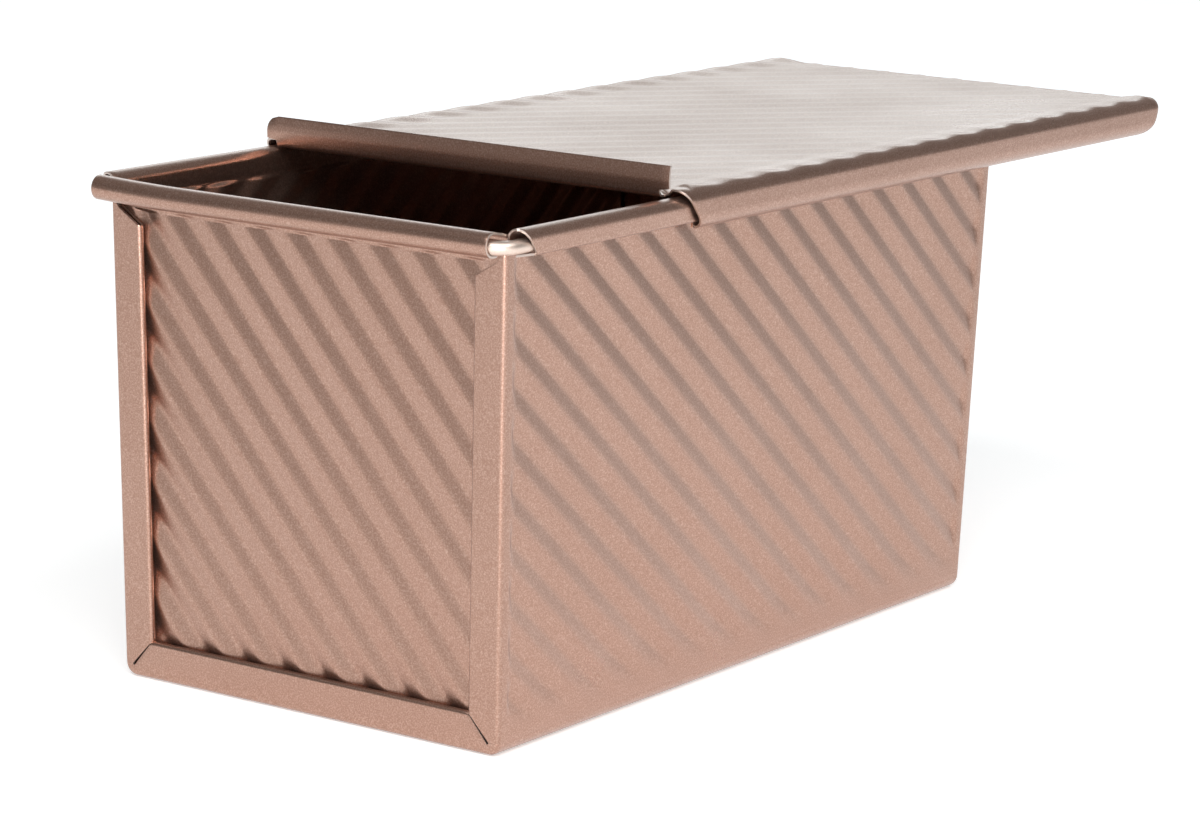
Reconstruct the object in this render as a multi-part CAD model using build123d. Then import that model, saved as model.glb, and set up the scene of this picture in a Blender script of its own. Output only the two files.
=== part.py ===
# Pullman loaf pan with a sliding lid, in millimetres.
# Origin: centre of the base on the table. +X runs along the pan, towards the side the lid slides to.
# -X is the front end, where the lid has its upturned lip. +Z is up.
import os
from math import atan, atan2, ceil, cos, radians, sin, sqrt, tan

from build123d import *

# Sheet and coating
sheet = 0.5
# How far cutting shapes reach past what they cut, and how close two points count as one
overrun = 1.0
point_tolerance = 0.0001

# Pan body: outside of the flat base, and how far the walls lean out
base_length = 189.0
base_width = 100.6
end_lean = radians(1.87)
side_lean = radians(0.93)
wall_top = 105.0
base_bend_radius = 2.8
end_bend_radius = 1.2

# Rolled rims
side_roll_radius = 2.3
side_roll_top = 110.4
side_roll_height = 5.8
side_roll_tuck = 0.4
side_roll_curl_radius = 0.9
side_roll_curl_length = 1.75
side_roll_setback = 0.9
side_roll_cut_run = 5.0
end_roll_radius = 2.65
end_roll_top = 109.95
end_roll_reach = 6.1
end_roll_slope = radians(12.0)
end_roll_bend_radius = 1.6
end_roll_lip_reach = 1.35
end_roll_lip_height = 0.9
end_roll_lip_radius = 0.35
end_roll_gap = 0.2
rim_overlap = 0.3

# Wire inside the rims
wire_diameter = 3.0
wire_clearance = 0.05
wire_bend_radius = 4.0
wire_bend_steps = 6
wire_seat_angle = radians(30)

# Lock seam between the folded body flanges and the end panels
side_flange_width = 8.0
bottom_flange_width = 8.5
seam_gap = 0.15
hem_return_end = 2.4
hook_return_end = 6.6
seam_corner_margin = 1.0
flange_cut_height = 99.7
flange_cut_rise = 3.7
flange_cut_run = 5.8
mitre_slit = 0.3
mitre_bridge = 3.3

# Corrugations pressed into the sheet
wave_pitch = 8.35
end_wave_pitch = 8.28
wave_depth = 0.85
wave_crest_drop = 0.05
wave_crest_radius = 3.0
wave_fade = 2.4
side_wave_angle = radians(39.1)
side_wave_phase = 6.28
end_wave_angle = radians(49.6)
end_wave_phase = 3.83
lid_wave_angle = radians(37.6)
lid_wave_phase = 7.45
side_wave_end_margin = 2.6
side_wave_foot = 4.0
side_wave_head = 103.0
base_wave_margin = 4.5
end_wave_foot = 4.0
end_wave_head = 103.6
end_wave_side_margin = 4.5
lid_wave_side_margin = 0.6
lid_wave_front_margin = 0.8
lid_wave_rear_margin = 1.2

# Lid
lid_length = 216.5
lid_width = 114.5
lid_open = 65.1
lid_gap = 0.35
crest_rise = 1.3
crest_width = 3.8
step_width = 1.6
step_radius = 0.8
crest_radius = 2.6
channel_height = 9.1
channel_curl_radius = 3.45
channel_curl_width = 3.45
channel_cut_slope = 0.85
channel_cut_start = 2.3
channel_rear_radius = 7.5
lip_height = 6.5
lip_bend_radius = 1.4
lip_bulge = 0.4
lip_bow_radius = 12.0
lip_corner_radius = 3.0
lip_half_width = 53.95
lip_crest_gap = 0.3
lip_flat_margin = 0.2


def half_length(z, inset=0.0):
    return base_length / 2 + z * tan(end_lean) - inset / cos(end_lean)


def half_width(z, inset=0.0):
    return base_width / 2 + z * tan(side_lean) - inset / cos(side_lean)


# Sketches and profiles

def polyhedron(low, high):
    """Solid between two matching polygons, low and high, each a list of points."""
    count = len(low)
    faces = [Face(Wire.make_polygon(low)), Face(Wire.make_polygon(high))]
    for i in range(count):
        j = (i + 1) % count
        faces.append(Face(Wire.make_polygon([low[i], low[j], high[j], high[i]])))
    return Solid(Shell(faces))


def inset_polygon(points, distance):
    """Convex polygon, listed anticlockwise, with each edge moved inwards."""
    lines = []
    for i, (x0, y0) in enumerate(points):
        x1, y1 = points[(i + 1) % len(points)]
        length = sqrt((x1 - x0) ** 2 + (y1 - y0) ** 2)
        nx = -(y1 - y0) / length
        ny = (x1 - x0) / length
        lines.append((nx, ny, nx * x0 + ny * y0 + distance))
    moved = []
    for i in range(len(points)):
        a, b, c = lines[i - 1]
        d, e, f = lines[i]
        det = a * e - b * d
        moved.append(((c * e - b * f) / det, (a * f - c * d) / det))
    return moved


def bent_edges(points, radii, offset):
    """Lines and arcs beside a bent middle line, offset to its left."""
    corners = [Vector(x, y) for x, y in points]
    headings = [(b - a).normalized() for a, b in zip(corners, corners[1:])]
    normals = [Vector(-d.Y, d.X) for d in headings]
    edges = []
    joint = corners[0] + normals[0] * offset
    for i, radius in enumerate(radii):
        before, after = headings[i], headings[i + 1]
        turn = before.X * after.Y - before.Y * after.X
        hand = 1 if turn > 0 else -1
        bend = abs(atan2(turn, before.dot(after)))
        reach = radius * tan(bend / 2)
        corner = corners[i + 1]
        centre = corner - before * reach + normals[i] * (hand * radius)
        rim = radius - hand * offset
        entry = centre - normals[i] * (hand * rim)
        leave = centre - normals[i + 1] * (hand * rim)
        middle = centre + (corner - centre).normalized() * rim
        if (entry - joint).length > point_tolerance:
            edges.append(Edge.make_line(joint, entry))
        edges.append(Edge.make_three_point_arc(entry, middle, leave))
        joint = leave
    edges.append(Edge.make_line(joint, corners[-1] + normals[-1] * offset))
    return edges


def strip(points, radii):
    """Section of bent sheet whose middle line runs through the points, with a radius at each bend."""
    left = bent_edges(points, radii, sheet / 2)
    right = bent_edges(points, radii, -sheet / 2)
    start = Edge.make_line(left[0] @ 0, right[0] @ 0)
    finish = Edge.make_line(left[-1] @ 1, right[-1] @ 1)
    return Face(Wire([start, *left, finish, *right]))


def prism(points, plane, reach_up, reach_down):
    """Polygon in a plane's own coordinates, extruded both ways along its normal."""
    face = plane * Face(Wire.make_polygon([Vector(x, y) for x, y in points]))
    shift = plane.z_dir * -reach_down
    return extrude(face.moved(Location(shift)), amount=reach_up + reach_down, dir=plane.z_dir)


# Corrugations

def wave_face(start, stop, pitch, phase, crest_radius):
    """Region above the folded wave, from start to stop across the stripes."""
    slope = atan(wave_depth / (pitch / 2))
    run = crest_radius * sin(slope)
    drop = run * tan(slope)
    crown = crest_radius / cos(slope) - crest_radius
    head = sheet / 2 + overrun
    first = ceil((start - phase) / pitch) - 1
    last = ceil((stop - phase) / pitch) + 1
    level = -wave_crest_drop
    low = level - wave_depth
    joint = Vector(phase + (first - 1 / 2) * pitch, low)
    edges = [Edge.make_line(Vector(joint.X, head), joint)]
    for i in range(first, last + 1):
        crest = phase + i * pitch
        if crest_radius > 0:
            entry = Vector(crest - run, level - drop)
            leave = Vector(crest + run, level - drop)
            edges.append(Edge.make_line(joint, entry))
            edges.append(Edge.make_three_point_arc(entry, Vector(crest, level - crown), leave))
        else:
            leave = Vector(crest, level)
            edges.append(Edge.make_line(joint, leave))
        joint = Vector(crest + pitch / 2, low)
        edges.append(Edge.make_line(leave, joint))
    edges.append(Edge.make_line(joint, Vector(joint.X, head)))
    edges.append(Edge.make_line(Vector(joint.X, head), edges[0] @ 0))
    return Face(Wire(edges))


def pressing(plane, window, pitch, angle, phase, crest_radius):
    """Hollow pressed into a flat sheet: the wave, run out to the flat border of the window.

    The plane is the sheet's outer face, and the window is a polygon in it, anticlockwise."""
    rise = sheet / 2
    deep = wave_crest_drop + wave_depth + overrun / 2
    slope = (wave_crest_drop + wave_depth) / wave_fade
    wide = inset_polygon(window, -rise / slope)
    narrow = inset_polygon(window, deep / slope)
    basin = polyhedron([Vector(x, y, -deep) for x, y in narrow], [Vector(x, y, rise) for x, y in wide])
    across = [sin(angle) * x + cos(angle) * y for x, y in window]
    along = [cos(angle) * x - sin(angle) * y for x, y in window]
    profile = wave_face(min(across) - pitch, max(across) + pitch, pitch, phase, crest_radius)
    stripe_dir = Vector(cos(angle), -sin(angle), 0)
    across_dir = Vector(sin(angle), cos(angle), 0)
    # The profile's own Y is the sheet's normal, and it is drawn at the stripes' near end.
    origin = stripe_dir * (min(along) - pitch)
    section = Plane(origin=origin, x_dir=across_dir, z_dir=across_dir.cross(Vector(0, 0, 1)))
    length = max(along) - min(along) + 2 * pitch
    block = extrude(section * profile, amount=length, dir=stripe_dir)
    return plane * (basin & block)


def corrugate(body, plane, window, pitch, angle, phase):
    """Presses the corrugations in, with rounded crests outside and sharp ones inside the sheet."""
    hollow = pressing(plane, window, pitch, angle, phase, wave_crest_radius)
    bulge = pressing(plane, window, pitch, angle, phase, 0)
    return body + bulge.moved(Location(plane.z_dir * -sheet)) - hollow


# Frames of the flat faces, each seen from outside: X to the right, Y up the wall, Z outwards

def side_frame(side):
    """side is -1 for the near long side and 1 for the far one."""
    up = Vector(0, side * sin(side_lean), cos(side_lean))
    out = Vector(0, side * cos(side_lean), -sin(side_lean))
    return Plane(origin=(0, side * base_width / 2, 0), x_dir=up.cross(out), z_dir=out)


def end_frame(end):
    """end is -1 for the front end and 1 for the rear one."""
    up = Vector(end * sin(end_lean), 0, cos(end_lean))
    out = Vector(end * cos(end_lean), 0, -sin(end_lean))
    return Plane(origin=(end * base_length / 2, 0, 0), x_dir=up.cross(out), z_dir=out)


def end_half_width(v, inset=0.0):
    """Half width of an end face at a height v measured up its slope."""
    return half_width(v * cos(end_lean), inset)


def side_half_length(v, inset=0.0):
    return half_length(v * cos(side_lean), inset)


# Pan body

def tub(inset, low, high, bend, end_bend):
    """Solid tapered tub whose faces lie the given inset inside the pan's outer faces."""
    def ring(z):
        x = half_length(z, inset)
        y = half_width(z, inset)
        return [Vector(-x, -y, z), Vector(x, -y, z), Vector(x, y, z), Vector(-x, y, z)]

    body = polyhedron(ring(low), ring(high))
    feet = body.edges().filter_by(Axis.X).group_by(Axis.Z)[0]
    body = body.fillet(bend, feet)
    if end_bend == 0:
        return body
    ends = [body.faces().sort_by(Axis.X)[0], body.faces().sort_by(Axis.X)[-1]]
    top_limit = high - overrun / 2
    rims = [edge for face in ends for edge in face.edges() if edge.center().Z < top_limit]
    return body.fillet(end_bend, rims)


def body_shell():
    outer = tub(0.0, 0.0, wall_top, base_bend_radius, end_bend_radius)
    # Inside, the ends meet the walls square, because the folded flanges hide those corners.
    inner = tub(sheet, sheet, wall_top + overrun, base_bend_radius - sheet, 0)
    return outer - inner


def flange_opening(end):
    """Opening in an end wall, inside the folded flanges, with their slanted top cuts."""
    foot = bottom_flange_width
    cut_low = flange_cut_height / cos(end_lean)
    cut_high = cut_low + flange_cut_rise
    edge_foot = end_half_width(foot, side_flange_width)
    edge_cut = end_half_width(cut_low, side_flange_width)
    edge_high = edge_cut + flange_cut_run
    right = [(edge_foot, foot), (edge_cut, cut_low), (edge_high, cut_high)]
    right.append((edge_high, wall_top + 2 * overrun))
    left = [(-u, v) for u, v in reversed(right)]
    return prism(right + left, end_frame(end), overrun, 3 * sheet)


def hem_profile(width, reach_end):
    """Section of a folded flange edge: X is the distance in from the outer face, Y the outward normal."""
    outer = (3 * sheet + 2 * seam_gap) / 2
    inner = outer - sheet
    centre = width - outer
    start = centre - sheet
    edges = [
        Edge.make_line((start, 0), (centre, 0)),
        Edge.make_three_point_arc((centre, 0), (width, -outer), (centre, -2 * outer)),
        Edge.make_line((centre, -2 * outer), (reach_end, -2 * outer)),
        Edge.make_line((reach_end, -2 * outer), (reach_end, -2 * outer + sheet)),
        Edge.make_line((reach_end, -2 * outer + sheet), (centre, -2 * outer + sheet)),
        Edge.make_three_point_arc((centre, -outer - inner), (centre + inner, -outer), (centre, -outer + inner)),
        Edge.make_line((centre, -sheet), (start, -sheet)),
        Edge.make_line((start, -sheet), (start, 0)),
    ]
    return Face(Wire(edges))


def hook_profile(turn_at, reach_end):
    """Section of an end panel's hook, round the free edge of the flange's fold."""
    outer = (3 * sheet + 2 * seam_gap) / 2
    inner = outer - sheet
    middle = -sheet - seam_gap - outer
    centre = turn_at + outer
    lead = centre + sheet
    edges = [
        Edge.make_line((lead, middle - outer), (centre, middle - outer)),
        Edge.make_three_point_arc((centre, middle - outer), (turn_at, middle), (centre, middle + outer)),
        Edge.make_line((centre, middle + outer), (reach_end, middle + outer)),
        Edge.make_line((reach_end, middle + outer), (reach_end, middle + inner)),
        Edge.make_line((reach_end, middle + inner), (centre, middle + inner)),
        Edge.make_three_point_arc((centre, middle + inner), (centre - inner, middle), (centre, middle - inner)),
        Edge.make_line((centre, middle - inner), (lead, middle - inner)),
        Edge.make_line((lead, middle - inner), (lead, middle - outer)),
    ]
    return Face(Wire(edges))


def along_side_edge(end, hand, profile, low, high):
    """Profile run up beside a corner of an end, from height low to high up the slope.

    hand is 1 for the edge on the right, seen from outside, and -1 for the left."""
    frame = end_frame(end)
    lean = atan(tan(side_lean) * cos(end_lean))
    up = Vector(hand * sin(lean), cos(lean), 0)
    inward = Vector(-hand * cos(lean), sin(lean), 0)
    start = Vector(hand * end_half_width(0), 0, 0) + up * (low / cos(lean))
    flat = Plane(origin=start, x_dir=inward, z_dir=inward.cross(Vector(0, 0, 1)))
    piece = extrude(flat * profile, amount=(high - low) / cos(lean), dir=up)
    return frame * piece


def along_foot(end, profile, half):
    """Profile run along the foot of an end, half each way from the middle."""
    frame = end_frame(end)
    start = Vector(-half, 0, 0)
    flat = Plane(origin=start, x_dir=(0, 1, 0), z_dir=Vector(0, 1, 0).cross(Vector(0, 0, 1)))
    piece = extrude(flat * profile, amount=2 * half, dir=Vector(1, 0, 0))
    return frame * piece


def corner_cutter(end, hand, shift, keep_side):
    """Half space on one side of the mitre line at a bottom corner.

    keep_side is 1 for the part below the line, which trims the upright flange,
    and -1 for the part above it, which trims the flange along the foot."""
    inner = Vector(hand * end_half_width(bottom_flange_width, side_flange_width), bottom_flange_width, 0)
    corner = Vector(hand * end_half_width(0), 0, 0)
    along = (corner - inner).normalized()
    across = Vector(-along.Y, along.X, 0)
    if across.Y > 0:
        across = across * -1
    across = across * keep_side
    size = 3 * side_flange_width
    start = inner - along * size + across * -shift
    points = [start, start + along * 2 * size, start + along * 2 * size + across * size, start + across * size]
    return prism([(p.X, p.Y) for p in points], end_frame(end), overrun, 8 * sheet)


def top_cutter(end, hand):
    """Space above the slanted top cut of an upright flange."""
    cut_low = flange_cut_height / cos(end_lean)
    edge = end_half_width(cut_low, side_flange_width)
    slope = flange_cut_rise / flange_cut_run
    far = side_flange_width + overrun
    points = [
        (hand * (edge - far), cut_low - far * slope),
        (hand * (edge + far), cut_low + far * slope),
        (hand * (edge + far), wall_top + far),
        (hand * (edge - far), wall_top + far),
    ]
    return prism(points, end_frame(end), overrun, 8 * sheet)


def mitre_cut(end, hand):
    """Slit between the two flanges at a bottom corner, short of the corner itself."""
    inner = Vector(hand * end_half_width(bottom_flange_width, side_flange_width), bottom_flange_width, 0)
    corner = Vector(hand * end_half_width(0), 0, 0)
    along = (corner - inner).normalized()
    across = Vector(-along.Y, along.X, 0) * (mitre_slit / 2)
    first = inner - along * overrun
    last = corner - along * mitre_bridge
    points = [first + across, first - across, last - across, last + across]
    return prism([(p.X, p.Y) for p in points], end_frame(end), overrun, sheet + seam_gap / 2)


def folded_flanges(end):
    """Hems behind the flange faces of one end: two upright and one along the foot."""
    half_slit = mitre_slit / 2
    pieces = []
    high = flange_cut_height + flange_cut_rise
    for hand in (-1, 1):
        upright = along_side_edge(end, hand, hem_profile(side_flange_width, hem_return_end), 0, high)
        upright = upright - corner_cutter(end, hand, half_slit, 1) - top_cutter(end, hand)
        pieces.append(upright)
    foot = along_foot(end, hem_profile(bottom_flange_width, hem_return_end), end_half_width(0))
    for hand in (-1, 1):
        foot = foot - corner_cutter(end, hand, half_slit, -1)
    pieces.append(foot)
    return pieces


def side_roll_section():
    """Rolled rim of a long side: X is outwards from the wall's outer face, Y is up."""
    middle = sheet / 2
    radius = side_roll_radius - middle
    shoulder = side_roll_top - side_roll_radius - middle
    top = side_roll_top - middle
    bottom = side_roll_top - side_roll_height + middle
    outer = 2 * radius - middle
    tucked = outer - side_roll_tuck
    points = [(-middle, wall_top - rim_overlap), (-middle, top), (outer, top), (outer, shoulder)]
    points += [(tucked, bottom), (tucked - side_roll_curl_length, bottom)]
    return strip(points, [radius, radius, side_roll_radius / 2, side_roll_curl_radius - middle])


def side_roll(side):
    """Rolled rim along a long side, with its ends cut on a slant."""
    reach = half_length(wall_top) - side_roll_setback
    foot = half_width(wall_top)
    section = Plane(origin=(-side * reach, side * foot, 0), x_dir=(0, side, 0), z_dir=(side, 0, 0))
    roll = extrude(section * side_roll_section(), amount=2 * reach)
    high = side_roll_top
    low = wall_top - overrun
    run = side_roll_cut_run * (high - low) / side_roll_height
    for end in (-1, 1):
        points = [(end * reach, high), (end * (reach - run), low), (end * (reach + overrun), low)]
        points.append((end * (reach + overrun), high))
        start = Plane(origin=(0, side * (foot + sheet / 2), 0), x_dir=(1, 0, 0), z_dir=(0, -1, 0))
        face = start * Face(Wire.make_polygon([Vector(x, z) for x, z in points]))
        roll = roll - extrude(face, amount=2 * side_roll_radius, dir=(0, side, 0))
    return roll


def side_window():
    foot = side_wave_foot
    head = side_wave_head
    low = side_half_length(foot, side_wave_end_margin)
    high = side_half_length(head, side_wave_end_margin)
    return [(-low, foot), (low, foot), (high, head), (-high, head)]


def pan_body():
    body = body_shell()
    for end in (-1, 1):
        body = body - flange_opening(end)
        for piece in folded_flanges(end):
            body = body + piece
        for hand in (-1, 1):
            body = body - mitre_cut(end, hand)
    for side in (-1, 1):
        body = body + side_roll(side)
    for side in (-1, 1):
        body = corrugate(body, side_frame(side), side_window(), wave_pitch, side_wave_angle, side_wave_phase)
    bottom = Plane(origin=(0, 0, 0), x_dir=(1, 0, 0), z_dir=(0, 0, -1))
    x = base_length / 2 - base_wave_margin
    y = base_width / 2 - base_wave_margin
    base_window = [(-x, -y), (x, -y), (x, y), (-x, y)]
    return corrugate(body, bottom, base_window, wave_pitch, side_wave_angle, side_wave_phase)


# End panels

def panel_depth():
    """How far an end panel's outer face lies inside the flange faces."""
    return 3 * sheet + 3 * seam_gap


def end_roll_centre():
    """Centre of the end roll's nose: how far out from the middle, and its height."""
    nose = half_length(wall_top) + end_roll_reach
    return nose - end_roll_radius, end_roll_top - end_roll_radius


def end_rim_section():
    """Rim of an end panel: X is outwards from the pan's middle, Y is up."""
    middle = sheet / 2
    low = wall_top - rim_overlap
    panel_x = half_length(low, panel_depth()) - middle
    centre_x, centre_z = end_roll_centre()
    radius = end_roll_radius - middle
    tip = centre_x + radius
    high = centre_z + radius * (1 + sin(end_roll_slope)) / cos(end_roll_slope)
    shoulder = high - (tip - panel_x) * tan(end_roll_slope)
    bottom = centre_z - radius
    lip_x = centre_x - end_roll_lip_reach
    points = [(panel_x, low), (panel_x, shoulder), (tip, high), (tip, bottom)]
    points += [(lip_x, bottom), (lip_x, bottom + end_roll_lip_height)]
    return strip(points, [end_roll_bend_radius, radius, radius, end_roll_lip_radius])


def end_rim(end):
    half = half_width(wall_top, sheet) - end_roll_gap
    section = Plane(origin=(0, end * half, 0), x_dir=(end, 0, 0), z_dir=(0, -end, 0))
    return extrude(section * end_rim_section(), amount=2 * half)


def end_panel(end):
    frame = end_frame(end)
    depth = panel_depth()
    turn_at = sheet + seam_gap
    centre = turn_at + (3 * sheet + 2 * seam_gap) / 2
    top = wall_top / cos(end_lean)
    low_half = end_half_width(centre, centre)
    high_half = end_half_width(top, centre)
    notch = base_bend_radius
    points = [(-low_half + notch, centre), (low_half - notch, centre), (low_half, centre + notch)]
    points += [(high_half, top), (-high_half, top), (-low_half, centre + notch)]
    panel = prism(points, frame, -depth, depth + sheet)
    hook = hook_profile(turn_at, hook_return_end)
    foot_half = end_half_width(0) - side_flange_width - seam_corner_margin
    panel = panel + along_foot(end, hook, foot_half)
    for hand in (-1, 1):
        low = bottom_flange_width + seam_corner_margin
        upright = along_side_edge(end, hand, hook, low, flange_cut_height - seam_corner_margin)
        panel = panel + (upright - top_cutter(end, hand))
    panel = panel + end_rim(end)
    face = Plane(origin=frame.origin - frame.z_dir * depth, x_dir=frame.x_dir, z_dir=frame.z_dir)
    foot = end_wave_foot
    head = end_wave_head
    low = end_half_width(foot, end_wave_side_margin)
    high = end_half_width(head, end_wave_side_margin)
    window = [(-low, foot), (low, foot), (high, head), (-high, head)]
    return corrugate(panel, face, window, end_wave_pitch, end_wave_angle, end_wave_phase)


# Wire

def rim_wire():
    """Steel wire ring inside the four rolled rims."""
    centre_x, centre_z = end_roll_centre()
    play = end_roll_radius - sheet - wire_clearance - wire_diameter / 2
    x = centre_x + play * sin(wire_seat_angle)
    height = centre_z - play * cos(wire_seat_angle)
    y = half_width(height) + side_roll_radius - sheet
    bend_x = x - wire_bend_radius
    bend_y = y - wire_bend_radius
    rod = Circle(wire_diameter / 2)
    # One quarter, from the middle of a long side round a corner to the middle of an end
    sections = []
    for i in range(wire_bend_steps + 1):
        turn = radians(90) * i / wire_bend_steps
        radial = Vector(sin(turn), -cos(turn), 0)
        place = Vector(bend_x, -bend_y, height) + radial * wire_bend_radius
        sections.append(Plane(origin=place, x_dir=radial, z_dir=(cos(turn), sin(turn), 0)) * rod)
    quarter = loft(sections, ruled=True)
    quarter = quarter + extrude(sections[0], amount=bend_x, dir=(-1, 0, 0))
    quarter = quarter + extrude(sections[-1], amount=bend_y, dir=(0, 1, 0))
    half = quarter + quarter.mirror(Plane.YZ)
    return half + half.mirror(Plane.XZ)


# Lid

def lid_level():
    """Height of the underside of the lid's flat panel."""
    return end_roll_top + lid_gap


def lid_section():
    """Half of the lid's section across the pan: X is outwards, Y is up."""
    middle = sheet / 2
    outer = lid_width / 2 - middle
    panel = lid_level() + middle
    crest = panel + crest_rise
    bottom = crest + middle - channel_height + middle
    step_out = outer - crest_width
    step_in = step_out - step_width
    points = [(0, panel), (step_in, panel), (step_out, crest), (outer, crest)]
    points += [(outer, bottom), (outer - channel_curl_width, bottom)]
    radii = [step_radius, step_radius, crest_radius, channel_curl_radius - middle]
    return strip(points, radii)


def lid_sheet():
    section = lid_section()
    front = Plane(origin=(-lid_length / 2, 0, 0), x_dir=(0, 1, 0), z_dir=(1, 0, 0))
    half = extrude(front * section, amount=lid_length, dir=(1, 0, 0))
    return half + half.mirror(Plane.XZ)


def lid_flat_half():
    """Half width of the lid's flat panel, between the steps up to its channels."""
    return lid_width / 2 - sheet / 2 - crest_width - step_width


def channel_trim():
    """Metal missing at the channels' ends: slanted in front, rounded behind."""
    crest = lid_level() + sheet + crest_rise
    bottom = crest - channel_height
    low = bottom - overrun
    front = -lid_length / 2
    rear = lid_length / 2
    radius = channel_rear_radius
    lead = front + channel_cut_start
    slanted = Wire.make_polygon([
        Vector(front - overrun, crest + overrun),
        Vector(lead, crest + overrun),
        Vector(lead, crest),
        Vector(lead + (crest - low) * channel_cut_slope, low),
        Vector(front - overrun, low),
    ])
    halfway = radius * sin(radians(45))
    rounded = Wire([
        Edge.make_three_point_arc(
            (rear - radius, bottom),
            (rear - radius + halfway, bottom + radius - halfway),
            (rear, bottom + radius),
        ),
        Edge.make_line((rear, bottom + radius), (rear + overrun, bottom + radius)),
        Edge.make_line((rear + overrun, bottom + radius), (rear + overrun, low)),
        Edge.make_line((rear + overrun, low), (rear - radius, low)),
        Edge.make_line((rear - radius, low), (rear - radius, bottom)),
    ])
    trims = []
    for side in (-1, 1):
        seat = Plane(origin=(0, side * lid_flat_half(), 0), x_dir=(1, 0, 0), z_dir=(0, -1, 0))
        for outline in (slanted, rounded):
            trims.append(extrude(seat * Face(outline), amount=crest_width + step_width + sheet, dir=(0, side, 0)))
    return trims


def lip():
    """Upturned edge across the front of the lid."""
    middle = sheet / 2
    panel = lid_level() + middle
    front = -lid_length / 2 + middle + lip_bulge
    top = panel + middle + lip_height
    start = front + lip_bend_radius + sheet
    waist = (panel + top) / 2
    points = [(start, panel), (front, panel), (front - lip_bulge, waist), (front, top)]
    section = strip(points, [lip_bend_radius - middle, lip_bow_radius])
    reach = lid_flat_half() - lip_flat_margin
    seat = Plane(origin=(0, reach, 0), x_dir=(1, 0, 0), z_dir=(0, -1, 0))
    bent = extrude(seat * section, amount=2 * reach, dir=(0, -1, 0))
    wide_seat = Plane(origin=(0, lip_half_width, 0), x_dir=(1, 0, 0), z_dir=(0, -1, 0))
    blade = extrude(wide_seat * section, amount=2 * lip_half_width, dir=(0, -1, 0))
    crest = panel + middle + crest_rise + lip_crest_gap
    low_part = Box(lid_length, lid_width, crest, align=(Align.CENTER, Align.CENTER, Align.MIN))
    blade = blade - low_part.moved(Location((-lid_length / 2, 0, 0)))
    # The corner at the far side is rounded off, the near one is left square.
    corner_y = lip_half_width - lip_corner_radius
    corner = Box(lid_length, overrun + lip_corner_radius, overrun + lip_corner_radius,
                 align=(Align.CENTER, Align.MIN, Align.MIN))
    corner = corner.moved(Location((-lid_length / 2, corner_y, top - lip_corner_radius)))
    round_off = Cylinder(lip_corner_radius, 2 * lid_length, rotation=(0, 90, 0))
    round_off = round_off.moved(Location((-lid_length / 2, corner_y, top - lip_corner_radius)))
    return bent + blade - (corner - round_off)


def lid():
    body = lid_sheet()
    # The flat panel stops short at the front, where the lip's bend begins.
    setback = lip_bend_radius + lip_bulge + sheet
    reach = lid_flat_half() - lip_flat_margin
    notch = Box(setback + overrun, 2 * reach, 2 * overrun)
    notch = notch.moved(Location((-lid_length / 2 + (setback - overrun) / 2, 0, lid_level() + sheet / 2)))
    body = body - notch + lip()
    for trim in channel_trim():
        body = body - trim
    under = Plane(origin=(0, 0, lid_level()), x_dir=(1, 0, 0), z_dir=(0, 0, -1))
    front = -lid_length / 2 + setback + lid_wave_front_margin
    rear = lid_length / 2 - lid_wave_rear_margin
    y = lid_flat_half() - lid_wave_side_margin
    window = [(front, -y), (rear, -y), (rear, y), (front, y)]
    body = corrugate(body, under, window, wave_pitch, -lid_wave_angle, lid_wave_phase)
    return body.moved(Location((lid_open, 0, 0)))


def main():
    os.makedirs("parts", exist_ok=True)
    pieces = {
        "pan_body": pan_body(),
        "front_end_panel": end_panel(-1),
        "rear_end_panel": end_panel(1),
        "rim_wire": rim_wire(),
        "lid": lid(),
    }
    for name, shape in pieces.items():
        export_step(shape, f"parts/{name}.step")


if __name__ == "__main__":
    main()
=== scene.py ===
import bmesh
import bpy
import math
from mathutils import Matrix, Vector


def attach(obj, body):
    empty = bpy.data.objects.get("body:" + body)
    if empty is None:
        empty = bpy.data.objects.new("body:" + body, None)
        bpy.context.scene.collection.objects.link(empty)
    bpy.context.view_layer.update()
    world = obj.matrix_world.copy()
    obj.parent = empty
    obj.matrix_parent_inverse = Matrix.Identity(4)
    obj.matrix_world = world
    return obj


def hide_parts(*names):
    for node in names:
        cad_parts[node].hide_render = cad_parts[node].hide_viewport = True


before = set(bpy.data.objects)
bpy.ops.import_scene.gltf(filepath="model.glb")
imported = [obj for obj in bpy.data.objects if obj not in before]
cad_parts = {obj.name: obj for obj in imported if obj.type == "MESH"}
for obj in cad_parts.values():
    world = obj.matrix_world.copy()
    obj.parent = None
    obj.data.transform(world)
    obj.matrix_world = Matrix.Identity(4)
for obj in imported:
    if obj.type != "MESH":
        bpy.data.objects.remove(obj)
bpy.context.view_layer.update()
mm = 0.001  # sheets are worked in millimetres until their mesh is made
weld = 0.004  # points closer than this are one

# the folded tin: outside of the flat base, the walls' lean and the sheet
tin = {
    "halfLength": 94.5, "halfWidth": 50.3,
    "endLean": math.radians(1.87), "sideLean": math.radians(0.93),
    "sheet": 0.5, "wallTop": 105.0,
}
cutEdge = {"width": 0.11, "segments": 2, "bevelFrom": math.radians(60), "creaseFrom": math.radians(32)}


def halfLengthAt(z):
    return tin["halfLength"] + z * math.tan(tin["endLean"])


def halfWidthAt(z):
    return tin["halfWidth"] + z * math.tan(tin["sideLean"])


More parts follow.
